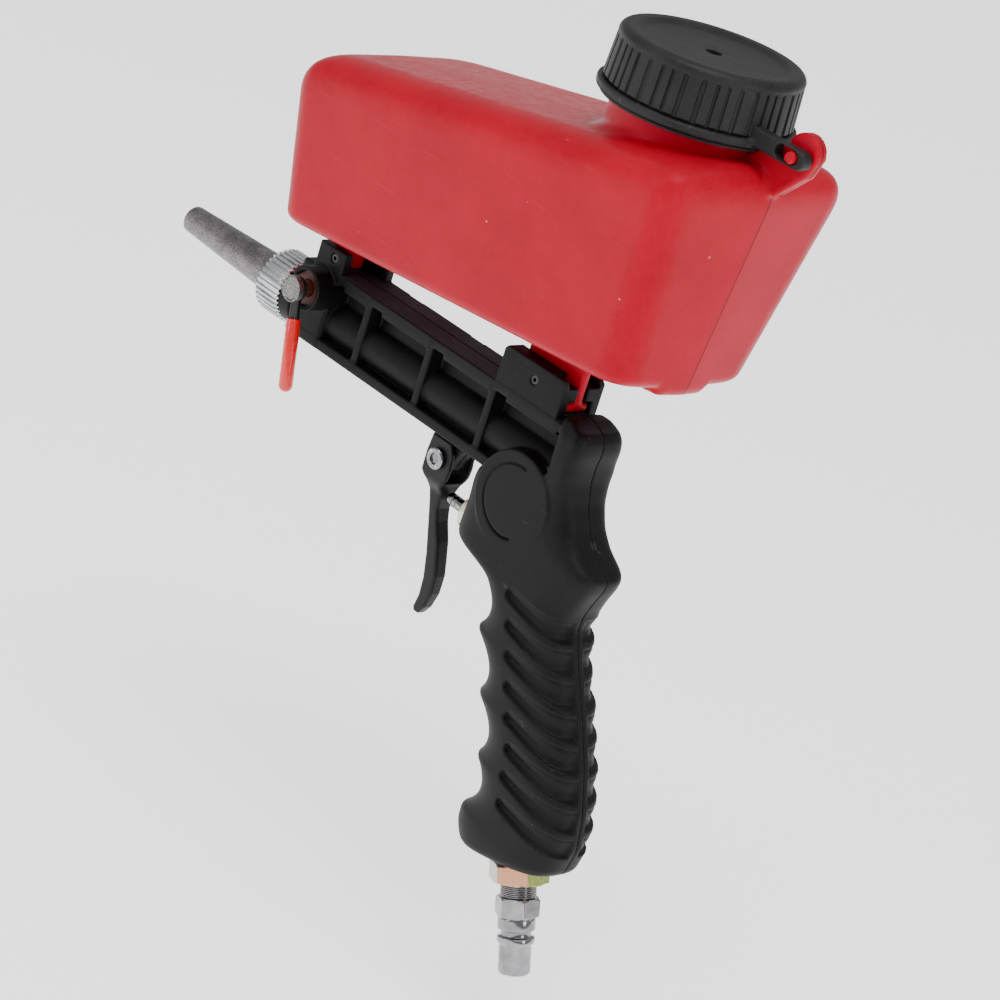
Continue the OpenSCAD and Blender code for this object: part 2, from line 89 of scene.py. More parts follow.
def make_camera():
    data = bpy.data.cameras.new("camera")
    data.lens, data.sensor_width = LENS, SENSOR
    data.clip_start, data.clip_end = 0.05, 20
    camera = bpy.data.objects.new("camera", data)
    a, e = radians(AZIMUTH), radians(ELEVATION)
    back = Vector((sin(a) * cos(e), -cos(a) * cos(e), sin(e)))
    camera.rotation_mode = "QUATERNION"
    turn = (-back).to_track_quat("-Z", "Y").to_matrix() @ Matrix.Rotation(radians(ROLL), 3, "Z")
    camera.rotation_quaternion = turn.to_quaternion()
    camera.location = drawn(*AIM) + back * DISTANCE * MM
    bpy.context.collection.objects.link(camera)
    bpy.context.scene.camera = camera


make_camera()

# ---- materials ----


class Finish:
    """A Principled material, with short names for the nodes that give it its detail."""

    def __init__(self, name, **sockets):
        self.material = bpy.data.materials.new(name)
        self.material.use_nodes = True
        self.tree = self.material.node_tree
        self.main = self.tree.nodes["Principled BSDF"]
        for socket, value in sockets.items():
            self.main.inputs[socket.replace("_", " ")].default_value = value
        self.place = self.tree.nodes.new("ShaderNodeTexCoord").outputs["Object"]

    def node(self, kind, **inputs):
        made = self.tree.nodes.new(kind)
        for socket, value in inputs.items():
            self.give(made.inputs[socket.replace("_", " ")], value)
        return made

    def give(self, socket, value):
        if isinstance(value, bpy.types.NodeSocket):
            self.tree.links.new(value, socket)
        else:
            socket.default_value = value

    def stretched(self, scale):
        """Places scaled by (x, y, z), so that a texture on them runs long where a scale is small."""
        return self.node("ShaderNodeMapping", Vector=self.place, Scale=scale).outputs[0]

    def noise(self, size, detail=3.0, rough=0.55, stretch=None):
        """Noise from 0 to 1 whose patches are about size millimetres across."""
        at = self.stretched(stretch) if stretch else self.place
        scale = 1 / (size * MM)
        made = self.node("ShaderNodeTexNoise", Vector=at, Scale=scale, Detail=detail, Roughness=rough)
        return made.outputs[0]

    def cells(self, size):
        """Distance to the nearest of points that lie about size millimetres apart."""
        made = self.node("ShaderNodeTexVoronoi", Vector=self.place, Scale=1 / (size * MM))
        return made.outputs["Distance"]

    def math(self, what, a, b=0.0):
        made = self.tree.nodes.new("ShaderNodeMath")
        made.operation = what
        for socket, value in zip(made.inputs, (a, b)):
            self.give(socket, value)
        return made.outputs[0]

    def span(self, value, low, high, to_low=0.0, to_high=1.0):
        """value carried from low..high to to_low..to_high, and kept inside it."""
        ends = {"From_Min": low, "From_Max": high, "To_Min": to_low, "To_Max": to_high}
        return self.node("ShaderNodeMapRange", Value=value, **ends).outputs[0]

    def mix(self, share, a, b):
        """Colour a, or b where share is 1."""
        made = self.tree.nodes.new("ShaderNodeMix")
        made.data_type = "RGBA"
        for socket, value in zip((made.inputs[0], made.inputs[6], made.inputs[7]), (share, a, b)):
            self.give(socket, value)
        return made.outputs[2]

    def axis(self, which):
        """The place along X, Y or Z, in metres."""
        return self.node("ShaderNodeSeparateXYZ", Vector=self.place).outputs[which]

    def facing(self, which):
        """How far the surface faces X, Y or Z, from -1 to 1."""
        normal = self.node("ShaderNodeNewGeometry").outputs["Normal"]
        return self.node("ShaderNodeSeparateXYZ", Vector=normal).outputs[which]

    def worn(self, low=0.52, high=0.62):
        """1 on the sharp edges that stand out, 0 elsewhere."""
        return self.span(self.node("ShaderNodeNewGeometry").outputs["Pointiness"], low, high)

    def hollow(self, low=0.44, high=0.495):
        """1 in the sharp hollows, 0 elsewhere: the mask for painted shade, and on the chrome for dirt as
        well.
        """
        return self.span(self.node("ShaderNodeNewGeometry").outputs["Pointiness"], low, high, 1.0, 0.0)

    def bump(self, height, strength, depth, under=None):
        """A bump depth millimetres deep, over another one if there is one."""
        made = self.node("ShaderNodeBump", Height=height, Strength=strength, Distance=depth * MM)
        if under:
            self.give(made.inputs["Normal"], under)
        return made.outputs[0]

    def use(self, **sockets):
        for socket, value in sockets.items():
            self.give(self.main.inputs[socket.replace("_", " ")], value)
        return self.material


def rgb(r, g, b):
    return (r, g, b, 1.0)


def black_plastic(name, shade, rough=0.5, grain=0.35, depth=0.05):
    """Moulded black plastic: spark-eroded grain, cloudy gloss, paler rubbed edges and fine dust."""
    f = Finish(name, Specular_IOR_Level=0.2)
    cloud = f.noise(14, 4)
    fine = f.noise(grain, 2, 0.6)
    scuff = f.span(f.noise(1.6, 5, 0.7, (1, 1, 0.25)), 0.62, 0.72)
    dark, pale = rgb(*(0.75 * c for c in shade)), rgb(*(1.3 * c for c in shade))
    colour = f.mix(f.span(cloud, 0.35, 0.65), dark, pale)
    colour = f.mix(f.math("MULTIPLY", f.worn(), 0.35), colour, rgb(*(4 * c + 0.015 for c in shade)))
    colour = f.mix(f.math("MULTIPLY", scuff, 0.12), colour, rgb(0.2, 0.2, 0.2))
    gloss = f.span(cloud, 0.3, 0.7, rough - 0.06, rough + 0.06)
    gloss = f.math("ADD", gloss, f.span(fine, 0.3, 0.7, -0.05, 0.05))
    bump = f.bump(fine, 0.5, depth, f.bump(cloud, 0.2, 0.1))
    return f.use(Base_Color=colour, Roughness=gloss, Normal=bump)


def body_plastic():
    """The body's black plastic, with the coarser grain of its flat upper strip.

    The strip's up-facing top is painted paler, a painted sheen of the light from above, and blue-green, to
    offset the red light that the hopper throws on it.
    """
    f = Finish("body_plastic", Specular_IOR_Level=0.14)
    cloud = f.noise(16, 4)
    fine = f.noise(0.5, 2, 0.6)
    height = f.axis(2)
    # Painted sheen: this mask picks the flat strip where it faces up, which is drawn paler, as if lit from
    # above
    top = f.math("MULTIPLY", f.span(f.facing(2), 0.85, 0.97), f.span(height, 0.0168, 0.0186))
    top = f.math("MULTIPLY", top, f.span(height, 0.0205, 0.022, 1.0, 0.0))
    speck = f.span(f.noise(0.7, 1), 0.35, 0.7)
    scuff = f.span(f.noise(1.8, 5, 0.7, (0.3, 1, 1)), 0.62, 0.74)
    colour = f.mix(f.span(cloud, 0.35, 0.65), rgb(0.0032, 0.0032, 0.0034), rgb(0.0065, 0.0065, 0.0067))
    # Painted sheen: the strip's pale blue-green colours stand in for light from above and offset the
    # hopper's red light
    colour = f.mix(top, colour, f.mix(speck, rgb(0.016, 0.036, 0.046), rgb(0.032, 0.068, 0.084)))
    colour = f.mix(f.math("MULTIPLY", f.worn(0.53, 0.65), 0.4), colour, rgb(0.06, 0.06, 0.062))
    colour = f.mix(f.math("MULTIPLY", scuff, 0.08), colour, rgb(0.16, 0.16, 0.16))
    # Painted shade: the sharp hollows are drawn almost black
    colour = f.mix(f.math("MULTIPLY", f.hollow(), 0.9), colour, rgb(0.001, 0.001, 0.001))
    gloss = f.math("ADD", f.span(cloud, 0.3, 0.7, 0.46, 0.58), f.math("MULTIPLY", top, 0.12))
    bump = f.bump(fine, 0.45, 0.05, f.bump(cloud, 0.15, 0.12))
    return f.use(Base_Color=colour, Roughness=gloss, Normal=bump)


def hopper_plastic():
    """Blow-moulded red plastic: soft mottling, long handling scratches, pale flecks and a seam."""
    f = Finish("hopper_plastic", Specular_IOR_Level=0.16, Specular_Tint=rgb(1, 0.3, 0.45))
    cloud = f.noise(34, 4, 0.6)
    mottle = f.noise(4, 4, 0.6)
    lines = f.span(f.noise(1.2, 4, 0.7, (0.05, 1, 1)), 0.6, 0.72)
    drops = f.span(f.cells(9), 0.035, 0.05, 1.0, 0.0)
    fleck = f.math("MULTIPLY", drops, f.span(f.noise(18, 2), 0.5, 0.6))
    seam = f.span(f.math("ABSOLUTE", f.axis(1)), 0.00022, 0.00042, 1.0, 0.0)
    behind = f.span(f.axis(0), NUT_FACE + 0.191, NUT_FACE + 0.195)
    seam = f.math("MULTIPLY", seam, behind)
    colour = f.mix(f.span(cloud, 0.3, 0.7), rgb(0.33, 0.0012, 0.012), rgb(0.41, 0.002, 0.016))
    colour = f.mix(f.span(mottle, 0.4, 0.75, 0.0, 0.3), colour, rgb(0.46, 0.006, 0.024))
    colour = f.mix(f.math("MULTIPLY", lines, 0.16), colour, rgb(0.6, 0.05, 0.05))
    colour = f.mix(f.math("MULTIPLY", fleck, 0.7), colour, rgb(0.75, 0.3, 0.3))
    colour = f.mix(seam, colour, rgb(0.2, 0.005, 0.008))
    gloss = f.math("ADD", f.span(mottle, 0.3, 0.7, 0.3, 0.42), f.math("MULTIPLY", lines, 0.12))
    bump = f.bump(f.noise(0.9, 3, 0.6), 0.35, 0.04, f.bump(cloud, 0.4, 0.6, f.bump(mottle, 0.3, 0.12)))
    cuts = f.math("ADD", seam, f.math("MULTIPLY", lines, 0.15))
    bump = f.bump(f.math("MULTIPLY", cuts, -1.0), 0.8, 0.25, bump)
    return f.use(Base_Color=colour, Roughness=gloss, Normal=bump)


def turned_metal(name, colour, dark, rough, across=(1, 1, 1), streak=0.3, pits=0.0, edge=0.8):
    """Bare metal with tool marks, tarnish in patches, worn edges and, if pits is over 0, a speckle."""
    f = Finish(name, Metallic=1.0)
    tool = f.noise(streak, 3, 0.6, across)
    cloud = f.noise(7, 4, 0.6)
    shade = f.mix(f.span(cloud, 0.3, 0.7), dark, colour)
    shade = f.mix(f.span(tool, 0.35, 0.75, 0.0, 0.35), shade, dark)
    bump = f.bump(tool, 0.3, 0.02, f.bump(cloud, 0.1, 0.05))
    gloss = f.span(f.math("ADD", tool, cloud), 0.7, 1.3, rough * 0.8, rough * 1.25)
    if pits:
        grit = f.span(f.noise(0.55, 3, 0.7), 0.44, 0.6)
        shade = f.mix(f.math("MULTIPLY", grit, pits), shade, rgb(0.05, 0.045, 0.045))
        gloss = f.math("ADD", gloss, f.math("MULTIPLY", grit, 0.15 * pits))
        bump = f.bump(grit, 0.6, -0.06, bump)
    shade = f.mix(f.math("MULTIPLY", f.worn(), 0.5), shade, rgb(edge, edge, edge))
    return f.use(Base_Color=shade, Roughness=gloss, Normal=bump)


def bright_chrome():
    """Polished chrome, cloudy in patches, drawn far darker than chrome as a painted reflection of dark
    surroundings, with painted shade and dirt in its grooves and bright rubbed edges.
    """
    f = Finish("chrome", Metallic=1.0)
    cloud = f.noise(6, 3, 0.6)
    tool = f.noise(1.5, 3, 0.6)
    # Painted reflection: the chrome is drawn far darker than chrome is, for the dark surroundings it would
    # reflect
    colour = f.mix(f.span(cloud, 0.35, 0.65), rgb(0.19, 0.192, 0.2), rgb(0.3, 0.303, 0.312))
    # Painted shade and dirt: the hollows are drawn nearly black
    colour = f.mix(f.math("MULTIPLY", f.hollow(), 0.8), colour, rgb(0.02, 0.02, 0.022))
    colour = f.mix(f.math("MULTIPLY", f.worn(), 0.6), colour, rgb(0.9, 0.9, 0.92))
    gloss = f.span(tool, 0.3, 0.7, 0.07, 0.14)
    return f.use(Base_Color=colour, Roughness=gloss, Normal=f.bump(tool, 0.3, 0.02))


def plated_zinc():
    """Yellow-passivated zinc, whose thin film turns from pale to pink to green round the part."""
    f = Finish("zinc_yellow", Metallic=0.85)
    fine = f.noise(0.8, 4, 0.6)
    film = f.math("ADD", f.facing(0), f.span(f.noise(3, 2, 0.5), 0.3, 0.7, -0.2, 0.2))
    colour = f.mix(f.span(film, -0.3, 0.2), rgb(0.5, 0.44, 0.4), rgb(0.6, 0.27, 0.16))
    colour = f.mix(f.span(film, 0.62, 0.86), colour, rgb(0.26, 0.34, 0.07))
    colour = f.mix(f.span(fine, 0.45, 0.8, 0.0, 0.35), colour, rgb(0.75, 0.68, 0.5))
    gloss = f.span(fine, 0.3, 0.7, 0.22, 0.4)
    return f.use(Base_Color=colour, Roughness=gloss, Normal=f.bump(fine, 0.3, 0.03))


def soft_rubber(name, shade, rough=0.7):
    """Rubber or foam: a fine matt skin with pale bloom."""
    f = Finish(name, Specular_IOR_Level=0.3)
    bloom = f.noise(2.5, 5, 0.65)
    fine = f.noise(0.35, 2)
    colour = f.mix(f.span(bloom, 0.4, 0.75, 0.0, 0.5), rgb(*shade), rgb(*(1.6 * c + 0.01 for c in shade)))
    gloss = f.span(bloom, 0.3, 0.7, rough - 0.08, rough + 0.1)
    return f.use(Base_Color=colour, Roughness=gloss, Normal=f.bump(fine, 0.5, 0.05))


def dipped_vinyl():
    """Thick glossy red vinyl with slight orange peel and a scratch or two."""
    f = Finish("sleeve_pvc", Specular_IOR_Level=0.55, Coat_Weight=0.35, Coat_Roughness=0.12)
    peel = f.noise(1.6, 2)
    scratch = f.span(f.noise(0.8, 3, 0.7, (1, 1, 0.1)), 0.66, 0.74)
    colour = f.mix(f.span(peel, 0.35, 0.65), rgb(0.62, 0.006, 0.006), rgb(0.74, 0.014, 0.012))
    colour = f.mix(f.math("MULTIPLY", scratch, 0.3), colour, rgb(0.8, 0.2, 0.18))
    gloss = f.math("ADD", f.span(peel, 0.3, 0.7, 0.16, 0.26), f.math("MULTIPLY", scratch, 0.2))
    return f.use(Base_Color=colour, Roughness=gloss, Normal=f.bump(peel, 0.3, 0.1))


STEEL, STEEL_DARK = rgb(0.6, 0.6, 0.62), rgb(0.36, 0.36, 0.38)
MATERIALS = {
    "body_plastic": body_plastic(),
    "hopper_plastic": hopper_plastic(),
    "cap_plastic": black_plastic("cap_plastic", (0.013, 0.013, 0.0132), 0.5, 0.6, 0.08),
    "trigger_plastic": black_plastic("trigger_plastic", (0.006, 0.006, 0.0062), 0.42),
    "lever_steel": black_plastic("lever_steel", (0.009, 0.009, 0.009), 0.35, 0.25, 0.02),
    "screw_steel": turned_metal("screw_steel", STEEL, STEEL_DARK, 0.32),
    "set_screw_steel": turned_metal(
        "set_screw_steel", rgb(0.05, 0.05, 0.055), rgb(0.02, 0.02, 0.02), 0.5, edge=0.12
    ),
    "seal_rubber": soft_rubber("seal_rubber", (0.02, 0.02, 0.02)),
    "gasket_foam": soft_rubber("gasket_foam", (0.62, 0.6, 0.54), 0.85),
    "washer_red": soft_rubber("washer_red", (0.07, 0.006, 0.007), 0.5),
    "chamber_metal": turned_metal("chamber_metal", rgb(0.62, 0.63, 0.65), rgb(0.45, 0.45, 0.47), 0.5),
    "brass": turned_metal("brass", rgb(0.72, 0.52, 0.24), rgb(0.5, 0.34, 0.14), 0.3),
    "disc_steel": turned_metal("disc_steel", rgb(0.42, 0.4, 0.39), rgb(0.2, 0.19, 0.185), 0.42, pits=0.85),
    "nozzle_steel": turned_metal(
        "nozzle_steel", rgb(0.36, 0.32, 0.325), rgb(0.14, 0.125, 0.13), 0.36, (0.3, 1, 1), 0.5, pits=0.7
    ),
    "nut_aluminium": turned_metal(
        "nut_aluminium", rgb(0.66, 0.67, 0.69), rgb(0.4, 0.41, 0.43), 0.22, (0.15, 1, 1)
    ),
    "chrome": bright_chrome(),
    "tube_aluminium": turned_metal("tube_aluminium", rgb(0.7, 0.71, 0.73), rgb(0.55, 0.56, 0.58), 0.35),
    "zinc_yellow": plated_zinc(),
    "sleeve_pvc": dipped_vinyl(),
    "spring_steel": turned_metal("spring_steel", STEEL, STEEL_DARK, 0.25),
}

# ---- solids as distance fields, for the moulded parts ----

Shape = namedtuple("Shape", "low high distance")


def join(a, b, blend=0.0):
    """The union of two fields, with a fillet about blend millimetres wide where they meet."""
    lower = np.minimum(a, b)
    if blend:
        near = np.maximum(blend - np.abs(a - b), 0) / blend
        lower = lower - near * near * blend / 4
    return lower


def both(a, b, blend=0.0):
    """Where two fields overlap, with a rounded edge where their surfaces meet."""
    return -join(-a, -b, blend)


def meet(off, along, edge):
    """Distance from a solid with a rounded rim, from the distances past its side and its end.
    Both come with edge, the rim's rounding, added to them."""
    outside = np.hypot(np.maximum(off, 0), np.maximum(along, 0))
    return outside + np.minimum(np.maximum(off, along), 0) - edge


def block(x, y, z, edge=0.5):
    """A box between two places on each axis, with rounded edges."""

    def distance(*at):
        past = [abs(p - (a + b) / 2) - (b - a) / 2 + edge for p, (a, b) in zip(at, (x, y, z))]
        out = np.sqrt(sum(np.maximum(p, 0) ** 2 for p in past))
        return out + np.minimum(np.maximum(np.maximum(past[0], past[1]), past[2]), 0) - edge

    return Shape(*zip(x, y, z), distance)


def rod(axis, at, radius, span, edge=0.3):
    """A cylinder along axis 0, 1 or 2. at is its place on the other two axes, in their order."""
    others = [k for k in range(3) if k != axis]
    low, high = [0, 0, 0], [0, 0, 0]
    low[axis], high[axis] = span
    for k, c in zip(others, at):
        low[k], high[k] = c - radius, c + radius

    def distance(*p):
        off = np.hypot(p[others[0]] - at[0], p[others[1]] - at[1]) - radius + edge
        along = abs(p[axis] - sum(span) / 2) - (span[1] - span[0]) / 2 + edge
        return meet(off, along, edge)

    return Shape(low, high, distance)


def outline_distance(points, x, z):
    """Signed distance in the XZ plane from a closed outline of straight runs."""
    away = np.full(np.broadcast(x, z).shape, 1e9, np.float32)
    inside = np.zeros(away.shape, bool)
    for (ax, az), (bx, bz) in zip(points, points[1:] + points[:1]):
        ex, ez = bx - ax, bz - az
        t = np.clip(((x - ax) * ex + (z - az) * ez) / (ex * ex + ez * ez), 0, 1)
        away = np.minimum(away, np.hypot(x - ax - t * ex, z - az - t * ez))
        if ez:
            inside ^= ((az > z) != (bz > z)) & (x < ax + (z - az) * ex / ez)
    return np.where(inside, -away, away)


def plate(points, y, edge=0.5):
    """A side outline made thick from one Y to another, with rounded edges."""
    xs, zs = zip(*points)

    def distance(px, py, pz):
        off = outline_distance(points, px, pz) + edge
        along = abs(py - sum(y) / 2) - (y[1] - y[0]) / 2 + edge
        return meet(off, along, edge)

    return Shape((min(xs), y[0], min(zs)), (max(xs), y[1], max(zs)), distance)


class Solid:
    """A solid kept as its distance field on a grid, to which shapes are added and cut."""

    def __init__(self, low, high, step):
        self.step, self.low = step, np.array(low, np.float32)
        self.axes = [np.arange(a, b, step, dtype=np.float32) for a, b in zip(low, high)]
        self.field = np.full([len(a) for a in self.axes], 9.0, np.float32)

    def near(self, shape, margin):
        """The part of the grid round a shape, and its places along X, Y and Z."""
        part = tuple(
            slice(*np.searchsorted(a, (low - margin, high + margin)))
            for a, low, high in zip(self.axes, shape.low, shape.high)
        )
        return part, self.places(part)

    def places(self, part=(slice(None),) * 3):
        """The grid's places along X, Y and Z, each turned to its own direction."""
        x, y, z = (a[p] for a, p in zip(self.axes, part))
        return x[:, None, None], y[None, :, None], z[None, None, :]

    def add(self, shape, blend=0.0):
        part, at = self.near(shape, blend + 4 * self.step)
        self.field[part] = join(self.field[part], shape.distance(*at), blend)

    def cut(self, shape, blend=0.0):
        part, at = self.near(shape, blend + 4 * self.step)
        self.field[part] = both(self.field[part], -shape.distance(*at), blend)

    def surface(self, name):
        """The solid's surface as an object, thinned to at most MOST_TRIANGLES triangles."""
        band = 3 * self.step
        grid = openvdb.FloatGrid(band)
        grid.copyFromArray(np.clip(self.field, -band, band))
        points, quads = grid.convertToQuads(0.0)
        made = mesh_object(name, points * self.step + self.low, quads)
        if 2 * len(quads) > MOST_TRIANGLES:
            thin = made.modifiers.new("thin", "DECIMATE")
            thin.ratio = MOST_TRIANGLES / (2 * len(quads))
            made = apply_modifiers(made)
        made.data.shade_smooth()
        return made


# ---- meshes ----


def mesh_object(name, points, faces):
    """An object from drawing points and faces, facing outward."""
    mesh = bpy.data.meshes.new(name)
    points = np.asarray(points, float) * MM + (NUT_FACE, 0, 0)
    mesh.from_pydata(points.tolist(), [], np.asarray(faces).tolist())
    made = bpy.data.objects.new(name, mesh)
    bpy.context.collection.objects.link(made)
    shape = bmesh.new()
    shape.from_mesh(mesh)
    bmesh.ops.remove_doubles(shape, verts=shape.verts, dist=1e-7)
    bmesh.ops.dissolve_degenerate(shape, dist=1e-7, edges=shape.edges)
    bmesh.ops.recalc_face_normals(shape, faces=shape.faces)
    shape.to_mesh(mesh)
    shape.free()
    return made


def apply_modifiers(made):
    seen = made.evaluated_get(bpy.context.evaluated_depsgraph_get())
    mesh = bpy.data.meshes.new_from_object(seen)
    made.modifiers.clear()
    made.data = mesh
    return made


def rounded(corners, edge, steps=3):
    """A closed outline of (height, radius) corners, with each corner rounded."""
    out = []
    count = len(corners)
    for i in range(count):
        before, here, after = (np.array(corners[(i + k) % count], float) for k in (-1, 0, 1))
        a, b = before - here, after - here
        reach = min(edge, 0.4 * np.hypot(*a), 0.4 * np.hypot(*b))
        if here[1] < 1e-6 or reach < 1e-6:
            out.append(here)
            continue
        start, end = here + a / np.hypot(*a) * reach, here + b / np.hypot(*b) * reach
        for t in np.linspace(0, 1, steps + 1):
            out.append((1 - t) ** 2 * start + 2 * t * (1 - t) * here + t * t * end)
    return out


def turned(name, corners, place, edge, segments, shape=None):
    """A turned part from a closed outline of (height, radius). place puts its axis, which is +Z,
    in the drawing, and shape(height, radius, angle) can give it flats, ribs or grooves."""
    height, radius = np.array(rounded(corners, edge) if edge else corners, float).T
    angle = np.linspace(0, 2 * pi, segments, endpoint=False)
    height = np.repeat(height[:, None], segments, 1)
    radius = np.repeat(radius[:, None], segments, 1)
    if shape:
        radius = shape(height, radius, angle[None, :])
    rows = len(height)
    points = np.stack([radius * np.cos(angle), radius * np.sin(angle), height], -1).reshape(-1, 3)
    points = points @ np.array(place.to_3x3()).T + np.array(place.translation)
    i, j = np.meshgrid(np.arange(rows), np.arange(segments), indexing="ij")
    up, on = (i + 1) % rows, (j + 1) % segments
    faces = np.stack([i * segments + j, i * segments + on, up * segments + on, up * segments + j], -1)
    made = mesh_object(name, points, faces.reshape(-1, 4))
    made.data.shade_smooth()
    made.data.set_sharp_from_angle(angle=SHARP)
    return made


def along(axis, at):
    """Puts a turned part's axis along a row axis, from a drawing point."""
    turns = {
        "x": Matrix.Rotation(pi / 2, 4, "Y"),
        "-y": Matrix.Rotation(pi / 2, 4, "X"),
        "z": Matrix.Identity(4),
    }
    return Matrix.Translation(at) @ turns[axis]


def hexagon(flats, low, high):
    """Six flats, that far apart, between two heights."""

    def shape(height, radius, angle):
        flat = flats / 2 / np.cos((angle + pi / 6) % (pi / 3) - pi / 6)
        return np.where((height > low) & (height < high), np.minimum(radius, flat), radius)

    return shape


def piece(made, body, slot, *nodes):
    """Gives a piece its finish and its body, and hides the CAD nodes that it stands for."""
    made.data.materials.clear()
    made.data.materials.append(MATERIALS[slot])
    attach(made, body)
    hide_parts(*nodes)


# ---- the body ----

HALF = 9.7  # half the width of the fore-end
FLANGE_TOP, FLANGE_LOW, POCKET_TOP, POCKET_LOW = 19.3, -10.7, 15.9, -6.7
RIBS = (56.4, 90.6, 124.4)
CORE = 8
MEDIA = (30.4, 10.5)  # the media valve's axis
PIVOT, LUG_HALF = (106.7, -20.1), 4
DISC, DISC_R, DISC_LINE = (151, -13.7), 17.8, 13.2
VALVE_Z = -33
INLET_TIP, INLET_LEAN = (208, -171), radians(19.5)
GRIP_END, GRIP_END_LEAN = (166, -138.6), radians(11.8)
FINGERS_TOP, FINGER_PITCH, FINGER_DEPTH = -42, 20.4, 6.4
FLUTES, FLUTE_TOP, FLUTE_PITCH, FLUTE_DEPTH = 8, -42.4, 9.75, 1.7

# Handle edges in the side view, as (z, x), and half its width, as (z, y)
BACK = ((22.4, 163), (21.2, 169), (18.4, 171.6), (14, 172.4), (8, 171.4), (2, 171.8), (-5.4, 174),
        (-13.5, 178.6), (-18.9, 184), (-22.6, 190.5), (-24.4, 192.4), (-28.2, 191.8), (-34, 189.2),
        (-40, 187), (-46, 186.6), (-58, 192.2), (-72, 200.4), (-88, 208.6), (-104, 214.6),
        (-116, 216.8), (-126, 214.6), (-134, 209.6), (-140, 204), (-145, 198), (-152, 192))
FRONT = ((22.4, 158), (4, 160), (-8, 134), (-11, 127.6), (-16, 126.6), (-24, 126.9), (-34.6, 126.6),
         (-37.6, 127.6), (-39.4, 131), (-40.2, 139), (-42, 144.2), (-62.4, 147.8), (-82.8, 157.4),
         (-103.2, 165.6), (-123.6, 166), (-129.5, 166.2), (-134.5, 169), (-138, 173), (-141, 178),
         (-152, 188))
WIDTH = ((22.4, 9.2), (18, 11.6), (8, 12.6), (-12, 13), (-26, 13.4), (-42, 14), (-100, 14.5),
         (-127, 14.1), (-134.5, 12.9), (-141, 10.9), (-152, 9))
BLUNT = ((0, 3.85), (-38, 3.85), (-60, 2.78), (-152, 2.78))  # the section's power: higher is squarer
FLUTE_LEAN = radians(-9)
FLUTE_START = ((-41, 161.8), (-72, 174.4), (-91, 183.4), (-111, 187.6))


def follow(line, z, soft=0.0):
    """A line's value at each z, its corners softened over about soft millimetres."""
    at, value = np.array(line[::-1], float).T
    reach = np.linspace(-soft, soft, 7) if soft else (0.0,)
    return np.mean([np.interp(z + r, at, value) for r in reach], 0)


def fluted(x, y, z):
    """How deep the flutes are at each place: flush above, deepest at their lower edge."""
    deep = 0.0
    for i in range(FLUTES):
        top = FLUTE_TOP - FLUTE_PITCH * i
        start = follow(FLUTE_START, top)
        u = (x - start) * cos(FLUTE_LEAN) + (z - top) * sin(FLUTE_LEAN)
        v = -(x - start) * sin(FLUTE_LEAN) + (z - top) * cos(FLUTE_LEAN)
        half = 2.3 + 0.05 * np.clip(u, 0, 24)
        round_end = np.hypot(np.minimum(u - half, 0), v) - half
        off = np.maximum(round_end, abs(v) - half)
        wall = np.clip(0.5 - off / 0.5, 0, 1)
        slope = np.clip((half - v) / (1.3 * half), 0.3, 1)
        deep = np.maximum(deep, wall * slope)
    return deep * FLUTE_DEPTH * np.clip((abs(y) - 2.2) / 0.6, 0, 1)


def handle_shape():
    """Head and grip: rounded sections between the front and back lines, with finger grooves."""

    def distance(x, y, z):
        line = z.ravel()
        groove = np.abs(np.sin(pi * (FINGERS_TOP - line) / FINGER_PITCH)) ** 0.8
        held = (line < FINGERS_TOP) & (line > FINGERS_TOP - 4 * FINGER_PITCH)
        front = follow(FRONT, line, 1.6) + np.where(held, FINGER_DEPTH * groove, 0)
        back, width = follow(BACK, line, 1.6), follow(WIDTH, line, 2)
        soft = np.ones(5) / 5
        front = np.convolve(np.pad(front, 2, "edge"), soft, "valid")
        front, back, width = (e.astype(np.float32)[None, None, :] for e in (front, back, width))
        half = (back - front) / 2
        power = follow(BLUNT, line).astype(np.float32)[None, None, :]
        u, v = np.abs(x - (front + back) / 2) / half, np.abs(y) / width
        size = np.maximum(u**power + v**power, 1e-6) ** (1 / power)
        steep = np.hypot(u ** (power - 1) / half, v ** (power - 1) / width) / size ** (power - 1)
        away = (size - 1) / np.maximum(steep, 0.02)
        return away + fluted(x, y, z)

    return Shape((120, -16, -150), (220, 16, 22.4), lambda x, y, z: both(distance(x, y, z), z - 22.4, 2))


def beyond_grip(x, y, z):
    """Distance above the slanted end of the grip."""
    return (z - GRIP_END[1]) * cos(GRIP_END_LEAN) - (x - GRIP_END[0]) * sin(GRIP_END_LEAN)


def at_inlet(shape):
    """A shape drawn up the air inlet's axis from its tip, leaned into place."""
    reach = max(abs(c) for c in (*shape.low, *shape.high))

    def distance(x, y, z):
        dx, dz = x - INLET_TIP[0], z - INLET_TIP[1]
        across = dx * cos(INLET_LEAN) + dz * sin(INLET_LEAN)
        return shape.distance(across, y, dz * cos(INLET_LEAN) - dx * sin(INLET_LEAN))

    low = (INLET_TIP[0] - reach, shape.low[1], INLET_TIP[1])
    return Shape(low, (INLET_TIP[0] + 20, shape.high[1], INLET_TIP[1] + reach), distance)


def ring_part(centre, inner, outer, y, angles):
    """Part of a flat ring round a Y axis, between two angles from +X towards +Z, in degrees."""
    middle, half = (radians(sum(angles) / 2), radians((angles[1] - angles[0]) / 2))

    def distance(px, py, pz):
        dx, dz = px - centre[0], pz - centre[1]
        off = np.abs(np.hypot(dx, dz) - (inner + outer) / 2) - (outer - inner) / 2
        turn = np.abs((np.arctan2(dz, dx) - middle + pi) % (2 * pi) - pi) - half
        return np.maximum(np.maximum(off, turn * outer), np.abs(py - sum(y) / 2) - (y[1] - y[0]) / 2)

    low = (centre[0] - outer, y[0], centre[1] - outer)
    return Shape(low, (centre[0] + outer, y[1], centre[1] + outer), distance)


